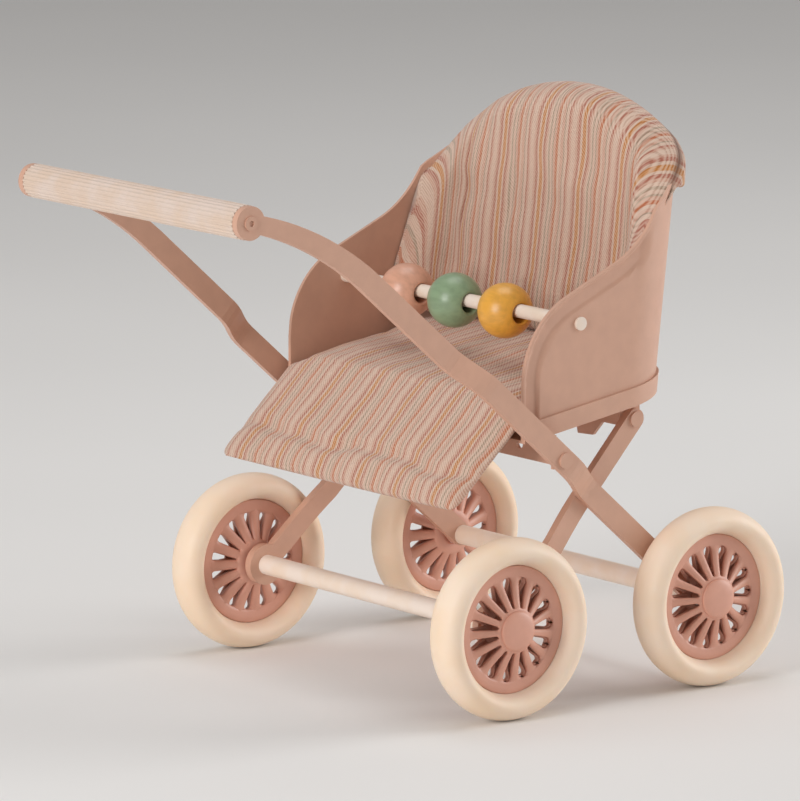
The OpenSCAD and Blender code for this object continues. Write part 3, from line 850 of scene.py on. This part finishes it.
def tub_mesh():
    """The tub as an outer and an inner skin, joined all the way round."""
    right = wall_columns()
    columns = right + [(-x, y, Vector((-n.x, n.y)), tip) for x, y, n, tip in reversed(right[:-1])]
    outer, inner = [], []
    for column in columns:
        height = climb(lambda up: column_point(column, up))
        reach = min(1.0, 0.62 * height / EDGE_STEPS[-1])
        ups = [height - step * reach for step in EDGE_STEPS]
        ups += [ups[-1] * (1 - i / PANEL_ROWS) for i in range(1, PANEL_ROWS + 1)]
        normal = Vector((column[2].x, column[2].y, 0))
        for up in ups:
            point = column_point(column, up)
            outer.append(point - normal * (band_push(point) if column[3] is not None else 0))
            inner.append(point - normal * TUB_T)
    rows = len(EDGE_STEPS) + PANEL_ROWS
    count = len(columns)
    points = outer + inner
    shift = len(outer)
    faces = skin_faces(count, rows)
    faces += [tuple(shift + k for k in reversed(face)) for face in skin_faces(count, rows)]
    for i in range(count - 1):
        for row in (0, rows - 1):
            a, b = i * rows + row, (i + 1) * rows + row
            faces.append((a, b, b + shift, a + shift))
    for j in range(rows - 1):
        for i in (0, count - 1):
            a, b = i * rows + j, i * rows + j + 1
            faces.append((a, b, b + shift, a + shift))
    return make_object("pressed_tub", points, faces, PINK_ENAMEL)


tub = tub_mesh()
soften_edges(tub, 0.36, 4)
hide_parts("seat_tub")
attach(tub, "frame")
print("tub skin has", len(tub.data.polygons), "faces")

# %% [markdown]
# ## The cushion
#
# The cushion is one long padded mat. Its seat part lies on the tray and folds down over the
# tray's front edge as a flap, and its back part stands in the tub and ends in a pocket that
# slips over the tub's back. Padding is air, as far as a mesh is concerned: the cloth modifier
# blows a closed skin up a little, and the skin finds its own soft shape. Cloth on a piece this
# small is unstable, so the skin is made ten times larger for the simulation and shrunk again.

# %% Soft-piece helpers
SIM_SCALE = 10
SIM_FRAMES = 20
PRESSURE = 3.0
SWELL_CAP_MM = 0.7


def read_points(obj):
    """Where an object's points are once its modifiers have run."""
    depsgraph = bpy.context.evaluated_depsgraph_get()
    done = obj.evaluated_get(depsgraph)
    mesh = done.to_mesh()
    points = [v.co.copy() for v in mesh.vertices]
    done.to_mesh_clear()
    return points


def swell(obj, pressure, cap_mm, hold=None):
    """Blows a closed skin up with a short cloth simulation and keeps each point within a cap.

    hold says how freely a point moves, from 0, fixed, to 1, free.
    """
    scene = bpy.context.scene
    obj.data.transform(Matrix.Scale(SIM_SCALE, 4))
    start = [v.co.copy() for v in obj.data.vertices]
    cloth = obj.modifiers.new("padding", "CLOTH")
    cloth.settings.quality = 5
    cloth.settings.mass = 0.3
    cloth.settings.tension_stiffness = 20
    cloth.settings.compression_stiffness = 20
    cloth.settings.shear_stiffness = 8
    cloth.settings.bending_stiffness = 0.6
    cloth.settings.use_pressure = True
    cloth.settings.uniform_pressure_force = pressure
    cloth.settings.effector_weights.gravity = 0
    cloth.collision_settings.use_collision = False
    cloth.point_cache.frame_start = 1
    cloth.point_cache.frame_end = SIM_FRAMES
    for number in range(1, SIM_FRAMES + 1):
        scene.frame_set(number)
    moved = read_points(obj)
    obj.modifiers.remove(cloth)
    scene.frame_set(1)
    cap = cap_mm * MM * SIM_SCALE
    farthest = 0.0
    for vertex, before, after in zip(obj.data.vertices, start, moved):
        step = after - before
        if step.length > cap:
            step = step.normalized() * cap
        free = hold(before / SIM_SCALE / MM) if hold else 1
        vertex.co = before + step * free
        farthest = max(farthest, step.length * free)
    obj.data.transform(Matrix.Scale(1 / SIM_SCALE, 4))
    obj.data.update()
    return farthest / SIM_SCALE / MM


def write_dress(obj, cloth, seam_shades):
    """Writes the cloth coordinates and the painted shade of the seam's crease, one of each per point.
    """
    mesh = obj.data
    place = mesh.attributes.new(CLOTH_PLACE, "FLOAT_VECTOR", "POINT")
    place.data.foreach_set("vector", [value for spot in cloth for value in spot])
    seam = mesh.attributes.new("seam", "FLOAT", "POINT")
    seam.data.foreach_set("value", seam_shades)
    mesh.update()


def subdivide(obj, levels=1):
    """Smooths a soft piece with a modifier."""
    smoother = obj.modifiers.new("smooth_cloth", "SUBSURF")
    smoother.levels = levels
    smoother.render_levels = levels


def ripple(point, size_mm, seed=0.0):
    """Smooth noise between about -0.5 and 0.5."""
    return noise.noise(point / size_mm + Vector((seed, 3.1 * seed, 0)))


# %% [markdown]
# The seat and the flap are one skin between two edges. A line along the top of the padding is
# drawn first: level with the tray, bent over its front edge, and straight down the flap. The
# middle of the padding lies half a thickness below that line. Each point of the skin is above
# or below the middle by up to half the thickness, which goes to nothing at the seams, as it
# does on a real pillow.

# %% Path of the seat and the flap
SEAT_T = 8.2
FLAP_T = 5.0
BEND_R = 9.0
FLAP_SLOPE = math.radians(44)
FLAP_REACH = 20.5
FLAP_CORNER = 2.4
SEAT_REAR = TUB_BACK - 1.0


def seat_path(samples=96):
    """Top line of the padding as a list of (place, tilt, run so far, whole run)."""
    top = Vector((FRONT, tray_z(FRONT) + TRAY_T + SEAT_T))
    down = Vector((-math.cos(FLAP_SLOPE), -math.sin(FLAP_SLOPE)))
    run = FLAP_REACH / math.cos(FLAP_SLOPE)
    tip = top + down * run
    corner_in = BEND_R * math.tan((FLAP_SLOPE - TILT) / 2)
    bend_start = top + Vector((math.cos(TILT), math.sin(TILT))) * corner_in
    centre = bend_start + Vector((math.sin(TILT), -math.cos(TILT))) * BEND_R
    rear = Vector((SEAT_REAR, tray_z(SEAT_REAR) + TRAY_T + SEAT_T))
    seat_run = (rear - bend_start).length
    bend_run = BEND_R * (FLAP_SLOPE - TILT)
    flap_run = run - corner_in
    total = seat_run + bend_run + flap_run
    points = []
    for i in range(samples + 1):
        share = i / samples
        gone = total * share
        if gone < seat_run:
            place = rear + (bend_start - rear) * gone / seat_run
            tilt = TILT
        elif gone < seat_run + bend_run:
            tilt = TILT + (gone - seat_run) / BEND_R
            place = centre + Vector((-math.sin(tilt), math.cos(tilt))) * BEND_R
        else:
            tilt = FLAP_SLOPE
            turn_end = centre + Vector((-math.sin(tilt), math.cos(tilt))) * BEND_R
            place = turn_end + down * (gone - seat_run - bend_run)
        points.append((place, tilt, gone, total))
    return points


def seat_half_width(y, left):
    """Half the width of the cushion at a place; left is the way still to go to the tip."""
    if y > ARC_Y:
        inner = CORNER_R - TUB_T - 0.4
        return HALF - CORNER_R + math.sqrt(max(4.0, inner ** 2 - (y - ARC_Y) ** 2))
    if y > FRONT:
        return HALF - TUB_T - 0.5
    width = HALF + 0.2
    if left < FLAP_CORNER:
        width -= FLAP_CORNER - math.sqrt(max(0, FLAP_CORNER ** 2 - (FLAP_CORNER - left) ** 2))
    return width


# %% The seat and the flap
SEAT_ACROSS = 88
HEM_MM = 8.5
# Runs over which the padding thins out towards the tip and the rear
NOSE_RUN, REAR_RUN = 7.0, 3.0
VALLEY_DEPTH, VALLEY_WIDTH = 1.15, 1.5
PUCKER_DEPTH, PUCKER_REACH = 0.30, 5.0


def seat_mat():
    """The seat and flap as one padded skin."""
    path = seat_path()
    spread = [math.sin(math.pi / 2 * (2 * i / SEAT_ACROSS - 1)) for i in range(SEAT_ACROSS + 1)]
    spread = [0.55 * s + 0.45 * (2 * i / SEAT_ACROSS - 1) for i, s in enumerate(spread)]
    top, bottom = [], []
    for place, tilt, gone, total in path:
        left = total - gone
        flapped = smooth_step(TILT, FLAP_SLOPE, tilt)
        half = seat_half_width(place.x, left)
        thick = SEAT_T + (FLAP_T - SEAT_T) * flapped
        nose = 1 - max(0, 1 - left / NOSE_RUN) ** 2.2
        rear = 1 - max(0, 1 - gone / REAR_RUN) ** 2
        end = math.sqrt(max(0, min(nose, rear)))
        for share in spread:
            side = math.sqrt(max(0, 1 - abs(share) ** (12 - 5 * flapped)))
            crown = 0.86 + 0.14 * math.cos(share * math.pi / 2)
            grow = side * end * crown
            point_x = share * half
            normal = Vector((0, -math.sin(tilt), math.cos(tilt)))
            surface = Vector((point_x, place.x, place.y))
            middle = surface - normal * thick / 2
            lump = 0.5 * ripple(surface, 11, 1.7) + 0.22 * ripple(surface, 5, 4.2)
            # The quilting line above the hem, and small puckers that run up from it
            wave = HEM_MM + 0.8 * math.sin(point_x / 6.5) + 0.5 * math.sin(point_x / 2.9 + 1)
            valley = VALLEY_DEPTH * math.exp(-((left - wave) / VALLEY_WIDTH) ** 2)
            gathers = math.sin(point_x / 1.9 + 1.4 * math.sin(point_x / 7))
            pucker = PUCKER_DEPTH * gathers * math.exp(-((left - wave) / PUCKER_REACH) ** 2)
            lift = (thick / 2) * grow + (lump - valley + pucker) * side * end
            top.append(middle + normal * lift)
            bottom.append(middle - normal * (thick / 2 * grow * 0.97))
    rows, columns = len(path), len(spread)
    shift = len(top)
    faces = skin_faces(rows, columns)
    faces += [tuple(shift + k for k in reversed(face)) for face in skin_faces(rows, columns)]
    return make_object("seat_mat", top + bottom, faces, STRIPED_TWILL)


def seat_hold(point):
    """Only the top of the mat swells; its underside rests on the tray."""
    above = point.z - (tray_z(max(point.y, FRONT)) + TRAY_T)
    if point.y < FRONT:
        return 0.6
    return smooth_step(1.5, 6.0, above)


def seat_cloth_place(point):
    """Cloth coordinates of a point of the seat mat, in millimetres."""
    along = (point.y + point.z) * 0.85
    bend = 0.4 * math.sin(along / 9.0) + 1.2 * ripple(point, 26, 8.0)
    return (point.x + bend + 50, along, 0)


seat_mat_piece = seat_mat()
swollen = swell(seat_mat_piece, PRESSURE, SWELL_CAP_MM, seat_hold)
seat_points = [vertex.co / MM for vertex in seat_mat_piece.data.vertices]
seat_cloth = [seat_cloth_place(point) for point in seat_points]
write_dress(seat_mat_piece, seat_cloth, [0.0] * len(seat_points))
subdivide(seat_mat_piece)
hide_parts("cushion_seat", "cushion_flap")
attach(seat_mat_piece, "frame")
print("seat mat swelled by up to", round(swollen, 2), "mm")

# %% [markdown]
# The back of the cushion wraps round three walls and goes over the top. Its skin is a loop,
# drawn as a section through the wall: up the inside, over the rim, down the outside to the
# pocket's hem, and back again close to the metal. The loop is carried along the wall from one
# front edge to the other. Towards those edges the padding thins out and the pocket ends.

# %% Places round the wall
ARM = HALF - CORNER_R
CORNER_RUN = CORNER_R * math.pi / 2


def plan_at(way):
    """Place and outward normal in plan, at a signed way round the wall from the back's middle."""
    side = 1 if way >= 0 else -1
    left = abs(way)
    if left <= ARM:
        return Vector((way, TUB_BACK)), Vector((0, 1))
    if left <= ARM + CORNER_RUN:
        angle = math.pi / 2 - (left - ARM) / CORNER_R
        normal = Vector((side * math.cos(angle), math.sin(angle)))
        return Vector((side * ARM, ARC_Y)) + normal * CORNER_R, normal
    return Vector((side * HALF, ARC_Y - (left - ARM - CORNER_RUN))), Vector((side, 0))


def way_of(y, z):
    """Way round the wall of a point of the right side or corner, given as (y, z)."""
    plan_y = unleaned(y, z)[0]
    if plan_y <= ARC_Y:
        return ARM + CORNER_RUN + ARC_Y - plan_y
    return ARM + CORNER_R * (math.pi / 2 - math.asin(min(1, (plan_y - ARC_Y) / CORNER_R)))


def wall_point(way, outside, up):
    """A point beside the leaning wall; outside is its distance from the wall's outer face."""
    place, normal = plan_at(way)
    place = place + normal * outside
    y, z = leaned(place.y, up)
    return Vector((place.x, y, z))


def rim_up(way):
    """Height of the rim along the wall, at a way round it."""
    return climb(lambda up: wall_point(way, 0, up))


WRAP_FOOT = way_of(FRONT + 22.8, tray_z(FRONT + 22.8) + 9.0)
WRAP_TOP = way_of(FRONT + 36.5, 103.0)
print("wrap reaches", round(WRAP_FOOT, 1), "mm round at the seat and", round(WRAP_TOP, 1), "at the top")

# %% Section of the back cushion
PAD_T = 8.0
POCKET_T = 2.3
WALL_GAP = 0.25
HEM_UP = 45.0
SEAT_UP = 6.5
INNER_ROWS, BEND_ROWS, OUTER_ROWS, LINING_ROWS = 34, 8, 7, 12


def section_loop(thick, rim, over):
    """The closed section as (outside, up, seam share), from the foot up the inner face."""
    top = rim - 3.0 * (1 - over) + POCKET_T * over
    lining = -TUB_T - WALL_GAP
    loop = []
    bend = min(7.0, thick)
    for i in range(INNER_ROWS):
        share = i / (INNER_ROWS - 1)
        loop.append((-thick, SEAT_UP + (top - bend - SEAT_UP) * share, 0))
    bend_share = 0.75 + 0.25 * over
    for i in range(1, BEND_ROWS):
        angle = math.radians(90 * i / BEND_ROWS)
        loop.append((-thick + bend * (1 - math.cos(angle)) * bend_share,
                     top - bend * (1 - math.sin(angle)), 0))
    crest = -thick + bend * bend_share
    loop.append((crest + (1.1 * over - crest) * 0.5 * over, top, 0))
    # Outside the rim: the seam, the pocket's rear panel and its hem
    edge = lining + (POCKET_T + 0.1 - lining) * over
    loop.append((lining + (1.0 - lining) * over, top - 0.5 * over - 0.2, 1.0))
    hem = top - 1.6 - (top - HEM_UP) * over
    for i in range(OUTER_ROWS):
        share = i / (OUTER_ROWS - 1)
        loop.append((edge - 0.25 * (1 - share) * over, top - 1.3 + (hem - top + 1.3) * share, 0))
    inner = lining + (WALL_GAP + 0.15 - lining) * over
    loop.append(((edge + inner) / 2, hem - 0.6, 0))
    loop.append((inner, hem - 0.2, 0))
    loop.append((inner, (hem + rim) / 2 - 0.8 * (1 - over), 0))
    loop.append((inner, rim + 0.3 * over - 2.6 * (1 - over), 0))
    for i in range(LINING_ROWS):
        share = i / (LINING_ROWS - 1)
        start = rim + 0.3 * over - 4.0 * (1 - over)
        loop.append((lining, start + (SEAT_UP - start) * share, 0))
    return loop


# %% [markdown]
# Each point is placed beside the wall, then moved a little by slow noise for the lumps of the
# stuffing, and by a few narrow valleys where the cloth is tucked. The cloth coordinates are
# written as the points are made, so the stripes run up the inside and over the rim unbroken.

# %% Skin of the back cushion
BACK_COLUMNS = 110
TUCKS = [(-12.5, 26, 44, 0.9), (30.5, 24, 50, 0.8), (-31.0, 24, 50, 0.8), (12.0, 40, 56, 0.35)]


def tuck_depth(way, up):
    """Depth of the valleys at a way round the wall and a height; each is (way, low, high, depth)."""
    depth = 0.0
    for place, low, high, deep in TUCKS:
        bend = 0.9 * math.sin(up / 5.0 + place)
        depth += deep * math.exp(-((way - place - bend) / 1.3) ** 2) * (
            smooth_step(low, low + 6, up) * (1 - smooth_step(high - 6, high, up)))
    return depth


def back_cushion():
    """The back of the cushion and its pocket as one closed skin."""
    points, cloth, seam_shades = [], [], []
    for i in range(BACK_COLUMNS + 1):
        share = 2 * i / BACK_COLUMNS - 1
        share = 0.7 * share + 0.3 * math.sin(math.pi / 2 * share)
        foot_way, top_way = share * WRAP_FOOT, share * WRAP_TOP
        rim = rim_up(top_way)
        rim_z = wall_point(top_way, 0, rim).z
        over = smooth_step(103.5, 112.0, rim_z)
        edge = abs(share)
        for outside, up, seam in section_loop(PAD_T, rim, over):
            way = foot_way + (top_way - foot_way) * min(1, up / rim)
            plump = math.sqrt(max(0, 1 - edge ** 16))
            inward = smooth_step(-2.0, -6.0, outside)
            if outside < -TUB_T - WALL_GAP:
                outside = -TUB_T - WALL_GAP + (outside + TUB_T + WALL_GAP) * plump
            crown = 0.5 * math.cos(way / WRAP_FOOT * math.pi * 2.5) * inward
            rest = wall_point(way, outside, up)
            lump = 0.75 * ripple(rest, 13, 2.3) + 0.3 * ripple(rest, 6, 6.1)
            lump = lump * inward - crown * 0.6 + tuck_depth(way, up) * inward * plump
            lump += 0.25 * ripple(rest, 7, 9.4) * smooth_step(0.5, 1.5, outside)
            lump -= 0.55 * seam * over
            points.append(wall_point(way, outside + lump, up))
            drift = 1.0 * ripple(rest, 26, 5.0)
            cloth.append((way + drift + 60, up - outside * 0.9, 0))
            # Painted shade for the seam's crease, kept as a share per point
            seam_shades.append(seam * over)
    rows = len(section_loop(PAD_T, 50, 1))
    columns = BACK_COLUMNS + 1
    faces = skin_faces(columns, rows, close_columns=True)
    faces.append(tuple(range(rows)))
    faces.append(tuple(reversed(range(BACK_COLUMNS * rows, columns * rows))))
    pad = make_object("back_cushion", points, faces, STRIPED_TWILL, weld=False)
    return pad, cloth, seam_shades


def back_hold(point):
    """The skin swells into the seat and stays put close to the metal."""
    plan_y, up = unleaned(point.y, point.z)
    inside = min(HALF - abs(point.x), TUB_BACK - plan_y)
    return smooth_step(3.0, 6.5, inside)


back_piece, back_cloth, back_seam_shades = back_cushion()
swollen = swell(back_piece, PRESSURE, SWELL_CAP_MM, back_hold)
write_dress(back_piece, back_cloth, back_seam_shades)
subdivide(back_piece)
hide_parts("cushion_back", "cushion_hood")
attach(back_piece, "frame")
print("back cushion has", len(back_piece.data.polygons), "faces")
print("back cushion swelled by up to", round(swollen, 2), "mm")

# %% [markdown]
# ## Floor and light
#
# A wide pale floor keeps the picture calm. One big soft light stands in front and another
# behind, as in a product studio, so the straps' edges and the tub's corners shine while the
# sides between stay a little darker. A smaller light overhead lifts the top faces, and a weak
# world light fills the rest.

# %% Floor and light


def studio_floor():
    """A plain pale floor."""
    size = 3.0
    points = [(-size, -size, 0), (size, -size, 0), (size, size, 0), (-size, size, 0)]
    points = [Vector(point) / MM for point in points]
    finish = Finish("pale_floor", paint(236, 234, 232), 0.75)
    shades = [(0.3, paint(233, 231, 229)), (0.7, paint(238, 236, 234))]
    finish.colour_from(finish.ramp(finish.noise(300, 2), shades))
    floor = make_object("floor", points, [(0, 1, 2, 3)], finish.material, smooth=False)
    return floor


def soft_light(name, place, size, watts):
    """A square studio light that faces the stroller."""
    data = bpy.data.lights.new(name, "AREA")
    data.size = size
    data.energy = watts
    light = bpy.data.objects.new(name, data)
    light.location = place
    aim = Vector(place) - VIEW_TARGET
    light.rotation_euler = aim.to_track_quat("Z", "Y").to_euler()
    bpy.context.scene.collection.objects.link(light)
    return light


def studio_world(strength):
    """A weak warm light from all round."""
    world = bpy.data.worlds.new("studio")
    world.use_nodes = True
    background = world.node_tree.nodes["Background"]
    background.inputs["Color"].default_value = (1, 0.985, 0.97, 1)
    background.inputs["Strength"].default_value = strength
    bpy.context.scene.world = world


bpy.context.scene.view_settings.view_transform = "Standard"
studio_floor()
soft_light("front_light", (0.16, -1.08, 0.40), 0.5, 7.5)
soft_light("back_light", (0.42, 0.95, 0.35), 0.6, 6.5)
soft_light("top_light", (-0.15, 0.1, 1.0), 0.6, 2.4)
studio_world(0.33)
